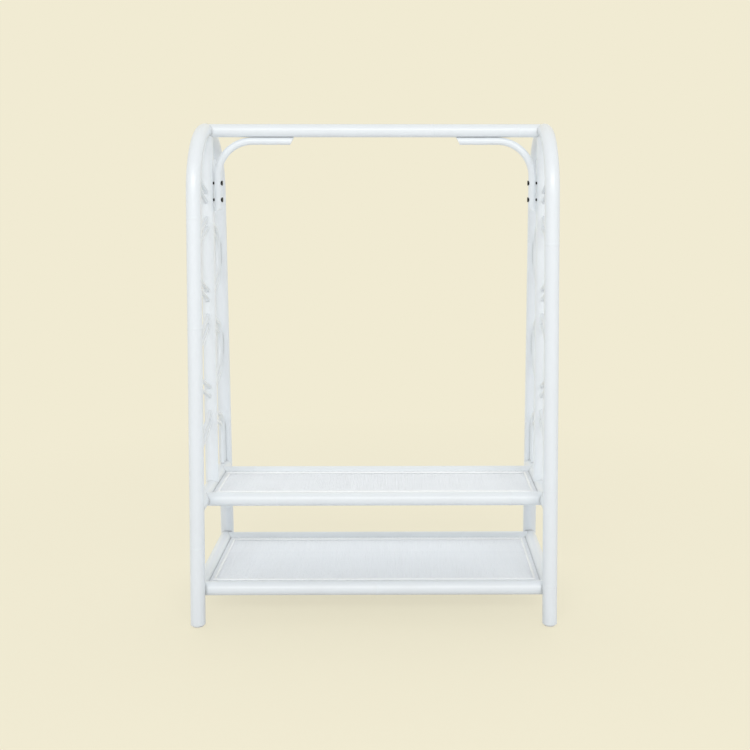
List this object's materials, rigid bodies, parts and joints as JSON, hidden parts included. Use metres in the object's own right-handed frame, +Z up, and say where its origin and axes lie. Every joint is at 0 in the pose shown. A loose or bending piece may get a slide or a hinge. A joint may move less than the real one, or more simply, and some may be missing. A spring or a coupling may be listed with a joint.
{
  "type": "clothes rack",
  "caption": "Free-standing clothes rack of white painted rattan poles: arched end frames with bent cane bows, a hanging rail with corner braces and shelves with woven mats.",
  "frame": {"origin": "on the floor, under the middle of the rack", "axes": "+Z up, +X along the hanging rail, +Y from the front to the back; front and back are alike"},
  "size_m": [0.802, 0.4032, 1.1],
  "materials": {
    "painted_rattan": "white satin paint",
    "woven_cane": "white painted weave",
    "painted_board": "white paint",
    "black_steel": "black oxide",
    "brass": "plain",
    "screw_steel": "zinc plated",
    "bare_beech": "bare",
    "white_nylon": "moulded"
  },
  "bodies": {
    "root": {"arch_left": "painted_rattan", "arch_right": "painted_rattan", "base_canes_left_back": "painted_rattan", "base_canes_left_front": "painted_rattan", "base_canes_right_back": "painted_rattan", "base_canes_right_front": "painted_rattan", "brace_bolts": "black_steel", "brace_inserts": "brass", "brace_left": "painted_rattan", "brace_right": "painted_rattan", "brace_screws": "screw_steel", "crown_canes_left_back": "painted_rattan", "crown_canes_left_front": "painted_rattan", "crown_canes_right_back": "painted_rattan", "crown_canes_right_front": "painted_rattan", "foot_glides": "white_nylon", "hanging_rail": "painted_rattan", "lower_back_bead": "painted_rattan", "lower_back_rail": "painted_rattan", "lower_bar_dowels": "bare_beech", "lower_bar_left": "painted_rattan", "lower_bar_right": "painted_rattan", "lower_board": "painted_board", "lower_bows_left_back": "painted_rattan", "lower_bows_left_front": "painted_rattan", "lower_bows_right_back": "painted_rattan", "lower_bows_right_front": "painted_rattan", "lower_front_bead": "painted_rattan", "lower_front_rail": "painted_rattan", "lower_left_bead": "painted_rattan", "lower_mat": "woven_cane", "lower_right_bead": "painted_rattan", "post_dowels": "bare_beech", "post_left": "painted_rattan", "post_right": "painted_rattan", "rail_bolts": "black_steel", "rail_inserts": "brass", "shelf_bolts": "black_steel", "shelf_inserts": "brass", "upper_back_bead": "painted_rattan", "upper_back_rail": "painted_rattan", "upper_bar_dowels": "bare_beech", "upper_bar_left": "painted_rattan", "upper_bar_right": "painted_rattan", "upper_board": "painted_board", "upper_bows_left_back": "painted_rattan", "upper_bows_left_front": "painted_rattan", "upper_bows_right_back": "painted_rattan", "upper_bows_right_front": "painted_rattan", "upper_front_bead": "painted_rattan", "upper_front_rail": "painted_rattan", "upper_left_bead": "painted_rattan", "upper_mat": "woven_cane", "upper_right_bead": "painted_rattan"}
  },
  "joints": []
}
